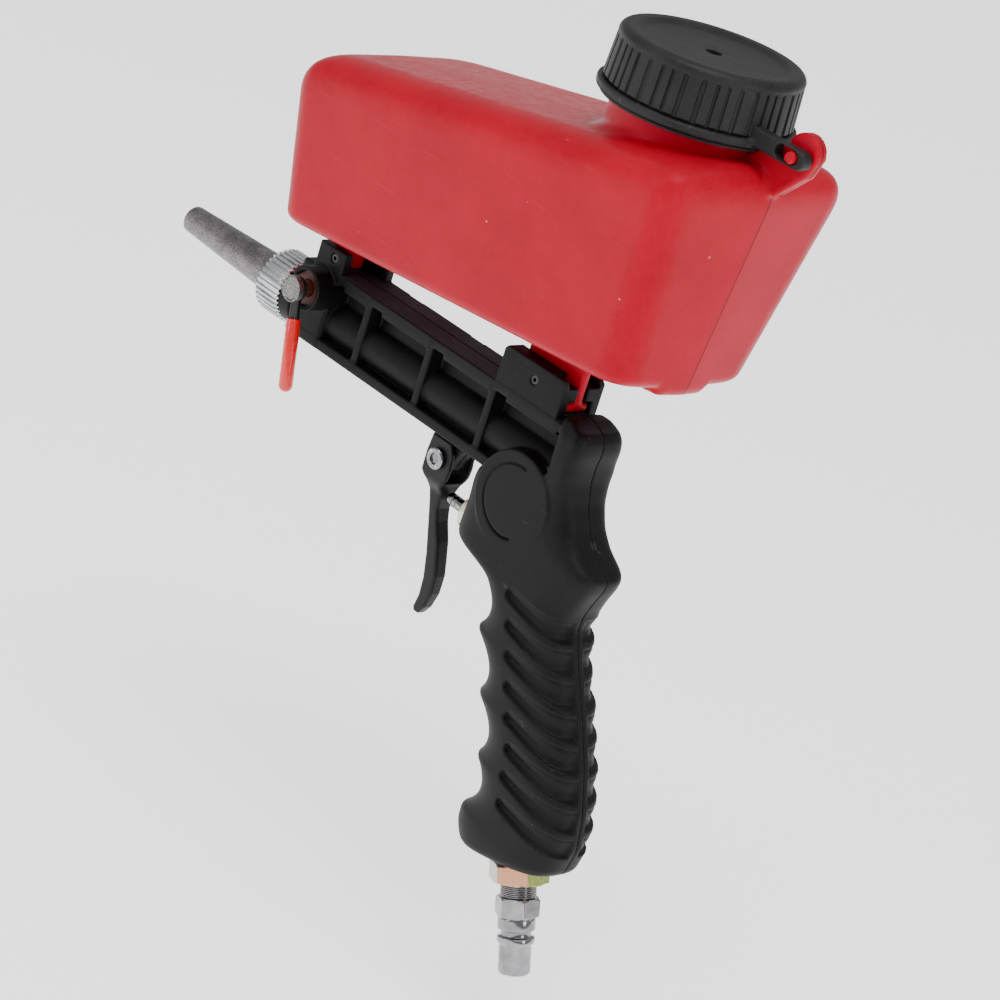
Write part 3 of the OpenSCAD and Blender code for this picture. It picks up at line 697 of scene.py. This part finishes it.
def fore_end(body):
    """Front block, flanges, ribs and the round core between them."""
    body.add(block((18.4, 37), (-HALF, HALF), (FLANGE_LOW, 17.6), 1.2), 0.8)
    body.add(block((24.3, 162), (-HALF, HALF), (POCKET_TOP, FLANGE_TOP), 0.5), 0.8)
    body.add(block((18.4, 136), (-HALF, HALF), (FLANGE_LOW, POCKET_LOW), 0.6), 0.8)
    body.add(block((30, 160), (-2.5, 2.5), (FLANGE_LOW, FLANGE_TOP), 0.3), 0.8)
    body.add(rod(0, (0, 0), CORE, (30, 158)), 0.8)
    for x, end in zip((35, *RIBS), (*RIBS, 158)):
        body.add(block((x + 7.5, end), (-HALF, HALF), (14.4, FLANGE_TOP), 0.4), 0.5)
    side = (0.4 - HALF, HALF - 0.4)
    for x in RIBS:
        body.add(block((x - 1.6, x + 1.6), side, (FLANGE_LOW + 1, FLANGE_TOP - 1), 0.5), 0.9)
    body.add(rod(0, (0, 0), 11.4, (12.9, 19), 0.5), 0.5)


def brackets(body):
    """The two brackets that hold the hopper, with their slots and set-screw holes."""
    body.add(block((24.3, 39), (-HALF, 0), (15, 27), 0.4), 0.5)
    body.add(block((24.3, 45.5), (0, HALF), (15, 27), 0.4), 0.5)
    body.cut(block((30.4, 50), (-6, 6), (19.4, 30), 0.3), 0.3)
    side = [(124.5, 17), (124.5, 31.6), (125.9, 33), (154.6, 33), (156, 31.6), (156, 17)]
    body.add(plate(side, (-HALF, HALF), 0.35), 0.5)
    body.cut(block((123, 158), (-2.4, 2.4), (24, 36), 0.2), 0.3)
    body.cut(block((126.5, 158), (-5.6, 5.6), (21, 25.4), 0.3), 0.3)
    body.cut(block((148.5, 158), (-7.4, 7.4), (30.4, 36), 0.3), 0.3)
    for x, z in ((33.3, 23.4), (141.4, 27.2)):
        body.cut(rod(1, (x, z), 1.6, (-12, -2)), 0.5)


def lever_boss(body):
    """The boss of the media valve: a thin rim, open toward the lower front."""
    body.add(rod(1, MEDIA, 8.2, (-17.5, 13), 0.5), 1.0)
    body.cut(rod(1, MEDIA, 6.6, (-19, -13.6), 0.2), 0.4)
    body.cut(ring_part(MEDIA, 5, 12, (-19, -14.2), (158, 262)), 0.5)
    body.cut(rod(1, MEDIA, 3.3, (-16, 14.5)))
    body.cut(rod(1, MEDIA, 5.3, (-10, 10.5)))


def head_details(body):
    """The round panel with its ring line, and the crescent slot over it."""
    body.add(rod(1, DISC, DISC_R, (-13.1, 13.1), 0.7), 0.8)
    for side in (-1, 1):
        line, slot = sorted((12.4 * side, 16 * side)), sorted((9.4 * side, 16 * side))
        body.cut(ring_part(DISC, DISC_LINE - 0.35, DISC_LINE + 0.35, line, (78, 292)), 0.4)
        body.cut(ring_part(DISC, DISC_R, DISC_R + 2.2, slot, (56, 94)), 0.7)


def trigger_lug(body):
    """The lug under the fore-end that holds the trigger's pivot."""
    x, z = PIVOT
    side = [(x - 5, z), (x - 8, -8), (x + 20, -8), (x + 8, -14), (x + 5, z)]
    body.add(plate(side, (-LUG_HALF, LUG_HALF)), 1.5)
    body.add(rod(1, PIVOT, 5, (-LUG_HALF, LUG_HALF)), 0.5)


def body_rooms(body):
    """Rooms for the chamber, tubes, valve, pins and air inlet."""
    for radius, span in ((9.3, (12, 19)), (7.9, (18.5, 37.1)), (6.1, (37, 50.1)), (4.2, (49, 124))):
        body.cut(rod(0, (0, 0), radius, span, 0.1))
    body.cut(rod(2, (MEDIA[0], 0), 7.9, (0, 18.9), 0.1))
    body.cut(rod(2, (MEDIA[0], 0), 6, (18, 29), 0.1), 0.3)
    body.cut(block((119.8, 141), (-4.3, 4.3), (-30, 4.3), 4.2))
    body.cut(rod(0, (0, VALVE_Z), 6.3, (110, 174), 0.1), 0.5)
    body.cut(at_inlet(rod(2, (0, 0), 8.4, (38.8, 46), 0.1)), 0.5)
    body.cut(at_inlet(rod(2, (0, 0), 5.2, (45, 139), 0.1)))
    body.cut(rod(1, PIVOT, 2.5, (-9, 9), 0.1))


def make_body():
    body = Solid((10, -19, -152), (222, 19, 36), 0.42)
    body.add(handle_shape())
    part, at = body.near(Shape((120, -19, -152), (222, 19, -120), None), 0)
    body.field[part] = both(body.field[part], -beyond_grip(*at), 3.5)
    head_details(body)
    fore_end(body)
    trigger_lug(body)
    brackets(body)
    lever_boss(body)
    body_rooms(body)
    whole, y = body.field, body.axes[1][None, :, None]
    for side, nodes in ((-1, "body_left_shell"), (1, "body_right_shell")):
        body.field = both(whole, 0.06 - side * y, 0.5)
        piece(body.surface("moulded_" + nodes[5:]), "body", "body_plastic", nodes)


# ---- the hopper ----

NECK_X, NECK_R, NECK_TOP = 163.7, 27.7, 150.4
THREAD_LOW, THREAD_TOP, THREAD_PITCH = 139.5, 148.8, 3.6
PEG = (213.8, 139.6)
DRAFT = 0.1717  # how much wider each side gets for a millimetre of height
BACK_SLOPE, TOP_SLOPE = 0.1162, 0.184
SKIN = 2.2


def hopper_outside(x, y, z):
    """A tapered box with drafted sides, a keel under it and a slightly ridged back."""
    side = np.abs(y)
    sides = (side - 31 + 0.0052 * (x - 28) - DRAFT * (z - 41)) / sqrt(1 + DRAFT**2)
    front = 19.4 - 0.0515 * (z - 32) - x + 0.02 * side
    back = (x - 197.6 - BACK_SLOPE * (z - 50) + 0.075 * side) / sqrt(1 + BACK_SLOPE**2)
    top = (z - 98 - TOP_SLOPE * (x - 20) + 0.012 * side) / sqrt(1 + TOP_SLOPE**2)
    bottom = 31.2 + 0.092 * (x - 26) - z
    keel = np.clip((side - 9) / 3, 0, 1)
    keel = 3 * keel + 0.01 * side
    round_walls = both(both(sides, back, 11), front, 10)
    return both(both(round_walls, top, 15), bottom + keel, 4.5)


def make_hopper():
    hopper = Solid((10, -46, 16), (224, 46, 153), 0.8)
    x, y, z = hopper.places()
    box = hopper_outside(x, y, z)
    hopper.field = box
    hopper.add(rod(2, (NECK_X, 0), NECK_R, (112, NECK_TOP), 0.6), 5)
    turn = np.arctan2(y, x - NECK_X) / (2 * pi)
    rise = (z - 140 - THREAD_PITCH * turn) % THREAD_PITCH - THREAD_PITCH / 2
    thread = np.hypot(np.maximum(np.hypot(x - NECK_X, y) - NECK_R - 0.5, 0), rise) - 0.8
    thread = np.maximum(thread, np.maximum(THREAD_LOW - z, z - THREAD_TOP))
    hopper.field = join(hopper.field, thread, 0.4)
    tab = [(206.6 + 6.6 * (1 - cos(t)), 141 + 6.6 * sin(t)) for t in np.linspace(0, pi, 13)]
    tab += [(217.4, 134), (208, 124), (196, 120), (193, 133), (200, 138)]
    hopper.add(plate(tab, (-2.6, 2.6), 0.9), 2)
    hopper.add(rod(1, PEG, 2.1, (-9.4, 0), 0.8), 0.6)
    hopper.add(rod(2, (MEDIA[0], 0), 5.8, (20.2, 42)), 2)
    hopper.add(block((128, 155.5), (-2, 2), (23, 50), 0.3), 1.5)
    hopper.add(block((128, 155.5), (-5.2, 5.2), (21.5, 24.3), 0.4), 0.6)
    hopper.field = both(hopper.field, -(box + SKIN), 0.5)
    hopper.cut(rod(2, (NECK_X, 0), NECK_R - 2.6, (112, 160)), 0.8)
    hopper.cut(rod(2, (MEDIA[0], 0), 4, (16, 45)), 0.5)
    piece(hopper.surface("moulded_hopper"), "body", "hopper_plastic", "hopper")


# ---- cap and tether ----

CAP_TOP, CAP_LOW, CAP_R, RECESS_R, VENT_R = 157, 138.5, 32, 25.5, 2.8
CAP_RIBS, RIB_DEPTH = 44, 0.85


def make_cap():
    def ribbed(height, radius, angle):
        """Ribs of uneven width, which end in a slope under the smooth rim."""
        uneven = angle * CAP_RIBS + 0.9 * np.sin(angle * 3) + 1.1 * np.sin(angle * 11 + 1)
        rib = np.clip(1.7 + 1.9 * np.sin(uneven), 0, 1)
        rib = rib * rib * (3 - 2 * rib)
        held = np.clip((153.4 - height) / 1.2, 0, 1) * np.clip((height - CAP_LOW - 0.2) / 0.6, 0, 1)
        outer = radius > 29.95 + (height < CAP_LOW + 0.1) * 9
        taper = 0.055 * np.clip(CAP_TOP - 3 - height, 0, 20)
        return radius + np.where(outer, held * (taper - RIB_DEPTH * (1 - rib)), 0)

    skirt = NECK_R + 2.2
    corners = [(133.8, skirt), (133.8, 32.3), (134.7, 32.3), (134.7, 31.1)]
    corners += [(CAP_LOW, 31.1), (CAP_LOW, CAP_R - 0.3)]
    corners += [(z, CAP_R - 0.3) for z in np.arange(CAP_LOW + 0.4, 154, 0.6)]
    corners += [(154, CAP_R - 0.2)]
    corners += [(154 + 3 * sin(t), CAP_R - 3.2 + 3 * cos(t)) for t in np.linspace(0.1, pi / 2, 9)]
    corners += [(CAP_TOP, 27.4), (156.8, 26.2), (156.1, RECESS_R - 0.5), (155.6, RECESS_R - 1.4)]
    corners += [(155.2, 14), (155.2, VENT_R), (151.8, VENT_R), (151.8, skirt)]
    cap = turned("ribbed_cap", corners, along("z", (NECK_X, 0, 0)), 0.25, 960, ribbed)
    piece(cap, "cap", "cap_plastic", "cap")


def make_tether():
    tether = Solid((126, -36, 131), (222, 36, 147), 0.4)
    tether.add(rod(2, (NECK_X, 0), 34, (135.1, 138.2), 0.9))
    tether.add(block((192, 216), (-7.6, -3.2), (136.3, 142.7), 0.7), 1.5)
    tether.add(rod(1, (216, 139.5), 3.2, (-7.6, -3.2), 0.7), 0.5)
    tether.cut(rod(2, (NECK_X, 0), 31.4, (130, 150)), 0.4)
    tether.cut(block((206.2, PEG[0] + 2.45), (-9, -2), (PEG[1] - 2.45, PEG[1] + 2.45), 2.3), 0.3)
    piece(tether.surface("moulded_tether"), "tether", "cap_plastic", "cap_tether")


# ---- trigger ----

TRIGGER_FRONT = [(101, -12.6), (100.2, -20), (100.4, -27), (103.4, -30.2), (105.6, -36), (108.5, -45.6),
                 (111.5, -55.3), (113.4, -63.8), (113.7, -70.8), (112.6, -76), (113.4, -77.6)]
TRIGGER_BACK = [(115.6, -77.6), (118, -74), (119.6, -68), (119.4, -61), (118, -56), (115.8, -49),
                (112.6, -42.5), (111.2, -38), (111.2, -29.5), (113.2, -25.5), (113.6, -22),
                (113, -16), (111, -12.6)]
EAR_IN, EAR_OUT = 4.3, 6.4
TRIGGER_WIDTHS = ((-5, EAR_OUT), (-28, EAR_OUT), (-32.5, 3.7), (-45, 3.2), (-60, 2.9), (-80, 2.4))


def make_trigger():
    """Two ears round the pivot, above a narrow curved blade with rounded edges."""
    trigger = Solid((96, -9, -80), (130, 9, -9), 0.27)
    trigger.add(plate(TRIGGER_FRONT + TRIGGER_BACK, (-EAR_OUT, EAR_OUT), 0.8))
    y, z = trigger.places()[1:]
    trigger.field = both(trigger.field, abs(y) - follow(TRIGGER_WIDTHS, z, 0.8), 1.4)
    trigger.cut(block((90, 130), (-EAR_IN, EAR_IN), (-27.5, -5), 0.3), 0.3)
    trigger.cut(block((111.2, 130), (-EAR_IN, EAR_IN), (-30.5, -18), 0.3), 0.4)
    trigger.cut(rod(1, PIVOT, 9.2, (-EAR_IN, EAR_IN), 0.3), 0.4)
    trigger.cut(rod(1, PIVOT, 2.7, (-9, 9), 0.1), 0.3)
    piece(trigger.surface("moulded_trigger"), "trigger", "trigger_plastic", "trigger")


# ---- nozzle, nut and media valve ----

KNURLS, KNURL_DEPTH = 36, 0.85
LEVER_LEAN = radians(12.8)  # how far the lever's foot hangs forward


def make_nozzle():
    """The tapered nozzle, and the knurled nut that holds it by its flange."""
    mouth = -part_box("nozzle_nut")[0].x / MM
    corners = [(mouth, 3), (mouth, 5.25), (3, 7.6), (2.8, 9.6), (4.7, 9.6), (4.7, 4.6), (-4, 3)]
    nozzle = turned("turned_nozzle", corners, along("x", (0, 0, 0)), 0.35, 128)
    piece(nozzle, "nozzle", "nozzle_steel", "nozzle")

    def knurled(height, radius, angle):
        groove = np.clip(0.5 + 1.4 * np.cos(KNURLS * angle), 0, 1)
        groove = groove * groove * (3 - 2 * groove)
        return radius - np.where(radius > 11.3, KNURL_DEPTH * groove, 0)

    corners = [(0, 7.9), (0, 11.8), (0.9, 12.5), (11.7, 12.5), (12.6, 11.8)]
    corners += [(12.6, 10.26), (2.7, 10.26), (2.7, 7.9)]
    nut = turned("knurled_nut", corners, along("x", (0, 0, 0)), 0.3, 720, knurled)
    piece(nut, "nut", "nut_aluminium", "nozzle_nut")


def at_lever():
    """Turned parts' place on the lever: the axis is at the origin and the sleeve hangs at -Z."""
    return Matrix.Translation((MEDIA[0], -20.2, MEDIA[1])) @ Matrix.Rotation(-LEVER_LEAN, 4, "Y")


def make_lever():
    """A strip on the valve's spindle, its dipped sleeve, and the screw over it."""
    place = at_lever()
    tip, top = -35.5, -11.6
    corners = [(tip - 2.6 * cos(t), 2.6 * sin(t)) for t in np.linspace(0, pi / 2, 10)]
    corners += [(top, 2.62), (top + 0.5, 2.3), (top + 0.5, 1.0), (tip + 2, 0.9), (tip + 2, 0)]
    sleeve = turned("dipped_sleeve", corners, place, 0.0, 64)
    piece(sleeve, "media_valve", "sleeve_pvc", "lever_sleeve")
    strip = Solid((14, -23, -28), (38, -17, 17), 0.22)
    strip.add(rod(1, MEDIA, 4.4, (-21, -19.4), 0.3))
    down = Vector((sin(LEVER_LEAN), -cos(LEVER_LEAN)))
    across = Vector((-down.y, down.x)) * 2.1
    start, end = Vector(MEDIA), Vector(MEDIA) + down * 34
    bar = [tuple(p) for p in (start - across, start + across, end + across, end - across)]
    strip.add(plate(bar, (-21, -19.4), 0.3), 0.6)
    strip.cut(rod(1, MEDIA, 3.05, (-24, -16), 0.1))
    piece(strip.surface("lever_strip"), "media_valve", "lever_steel", "lever_plate")
    corners = [(21.25, 0), (21.25, 4.7), (21.6, 4.9), (23.4, 4.9), (23.7, 4.75), (23.7, 4.45)]
    corners += [(23.35, 4.2), (23.1, 3.9), (23.1, 0)]
    screw = turned("lever_disc", corners, along("-y", (MEDIA[0], 0, MEDIA[1])), 0.12, 96)
    piece(screw, "media_valve", "disc_steel", "lever_screw")


# ---- air inlet ----

PLUG_FLATS, BUSHING_FLATS = 14, 19
THREADS, THREAD_STEP = 8, 0.65


def make_inlet():
    """The quick-coupler plug, from its tip up to its thread, and the bushing that it screws into."""
    place = Matrix.Translation((INLET_TIP[0], 0, INLET_TIP[1])) @ Matrix.Rotation(-INLET_LEAN, 4, "Y")
    corners = [(0, 3.8), (0, 5), (0.9, 5.75), (10.6, 5.75), (11.7, 6.7), (13.4, 6.7), (13.9, 5.4)]
    corners += [(15.8, 5.4), (16.2, 6.7), (20, 6.7), (20.7, 6.3)]
    corners += [(20.7, 7.2), (21.4, 8.08), (27, 8.08), (27.7, 7.2), (27.7, 5.9)]
    ridge = ((0, 5.95), (0.32, 6.56))
    corners += [(28 + THREAD_STEP * k + d, r) for k in range(THREADS) for d, r in ridge]
    corners += [(34, 6.5), (42.5, 6.2), (42.5, 3.8)]
    plug = turned("air_connector", corners, place, 0.22, 180, hexagon(PLUG_FLATS, 20.71, 27.69))
    piece(plug, "body", "chrome", "air_plug")
    corners = [(33, 6.62), (33, 9.3), (33.7, 10.97), (39.2, 10.97), (39.9, 9.4), (40, 8.3)]
    corners += [(46, 8.3), (46, 3), (43, 3), (43, 6.62)]
    bushing = turned("hex_bushing", corners, place, 0.25, 180, hexagon(BUSHING_FLATS, 33.01, 39.95))
    piece(bushing, "body", "zinc_yellow", "inlet_bushing")


# ---- small bright parts ----


def make_pivot():
    """A rivet with a head at each end, and a round socket in each head."""
    head = [(7.9, 2.1), (7.9, 3.4), (7.5, 4), (6.7, 4), (6.7, 2.4)]
    corners = [(-height, radius) for height, radius in head] + head[::-1]
    corners += [(6.9, 2), (6.9, 0), (-6.9, 0), (-6.9, 2)]
    pin = turned("trigger_rivet", corners, along("-y", (PIVOT[0], 0, PIVOT[1])), 0.2, 96)
    piece(pin, "body", "chrome", "trigger_pivot")


def make_stem():
    """The valve's stem, with a round tip and three grooves, and its guide nut."""
    r, tip, grooves = 2.35, 111.5, (115.6, 117.6, 135)
    corners = [(tip + r * (1 - cos(t)), r * sin(t)) for t in np.linspace(0, pi / 2, 9)]
    for x in grooves:
        corners += [(x - 0.5, r), (x - 0.4, r - 0.4), (x + 0.4, r - 0.4), (x + 0.5, r)]
    corners += [(150.3, r), (150.4, 4), (152, 4), (152, 1.9), (156, 1.9), (156, 0)]
    stem = turned("bright_stem", corners, along("x", (0, 0, VALVE_Z)), 0.1, 72)
    piece(stem, "stem", "chrome", "valve_stem")
    corners = [(121.8, 2.45), (121.8, 4.2), (122.3, 5), (124.6, 5), (125, 4.2), (131, 4.15), (131, 2.45)]
    flats = hexagon(8.7, 121.85, 124.95)
    nut = turned("stem_guide_nut", corners, along("x", (0, 0, VALVE_Z)), 0.15, 96, flats)
    piece(nut, "body", "chrome", "gland_nut")


def finish_frame_nodes():
    """The nodes that keep their CAD shape get their material too."""
    slots = {part["node"]: part["material_slot"] for part in frame["record"]["subparts"]}
    for name, node in frame["nodes"].items():
        node.data.materials.clear()
        node.data.materials.append(MATERIALS[slots[name]])


# ---- floor and light ----

FLOOR_DROP, FLOOR_REACH = 0.03, 40  # metres below the part, and to each side


def make_stage():
    low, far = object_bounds()[0].z - FLOOR_DROP, FLOOR_REACH
    mesh = bpy.data.meshes.new("floor")
    corners = [(-far, -far, low), (far, -far, low), (far, far, low), (-far, far, low)]
    mesh.from_pydata(corners, [], [(0, 1, 2, 3)])
    floor = bpy.data.objects.new("floor", mesh)
    bpy.context.collection.objects.link(floor)
    f = Finish("pale_floor", Specular_IOR_Level=0.1, Emission_Color=rgb(1, 1, 1), Emission_Strength=1.1)
    f.use(Base_Color=f.mix(f.noise(400, 2), rgb(0.93, 0.93, 0.93), rgb(0.96, 0.96, 0.96)), Roughness=0.9)
    mesh.materials.append(f.material)
    floor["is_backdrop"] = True


def area_light(name, at, aim, size, power):
    data = bpy.data.lights.new(name, "AREA")
    data.shape, data.size, data.size_y, data.energy = "RECTANGLE", *size, power
    light = bpy.data.objects.new(name, data)
    light.location = at
    light.rotation_mode = "QUATERNION"
    light.rotation_quaternion = (Vector(aim) - Vector(at)).to_track_quat("-Z", "Y")
    bpy.context.collection.objects.link(light)


def make_light():
    """A pale room that is dimmer toward its horizon, and three soft boxes."""
    world = bpy.data.worlds.new("studio")
    world.use_nodes = True
    tree = world.node_tree
    place = tree.nodes.new("ShaderNodeTexCoord")
    split = tree.nodes.new("ShaderNodeSeparateXYZ")
    rise = tree.nodes.new("ShaderNodeMapRange")
    ends = {"From Min": 0.0, "From Max": 0.8, "To Min": 0.45, "To Max": 0.75}
    for socket, value in ends.items():
        rise.inputs[socket].default_value = value
    background = tree.nodes["Background"]
    background.inputs["Color"].default_value = rgb(1, 1, 1)
    tree.links.new(place.outputs["Generated"], split.inputs[0])
    tree.links.new(split.outputs["Z"], rise.inputs["Value"])
    tree.links.new(rise.outputs[0], background.inputs["Strength"])
    bpy.context.scene.world = world
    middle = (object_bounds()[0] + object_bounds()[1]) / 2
    area_light("key", (0.5, -0.4, 1.5), middle, (0.9, 0.6), 16)
    area_light("left", (-0.5, -1.5, 0.7), middle, (0.5, 1.1), 7)
    area_light("behind", (1.6, 0.1, 0.5), middle, (0.4, 1.1), 6)


make_body()
make_hopper()
make_cap()
make_tether()
make_trigger()
make_nozzle()
make_lever()
make_inlet()
make_pivot()
make_stem()
finish_frame_nodes()
make_stage()
make_light()
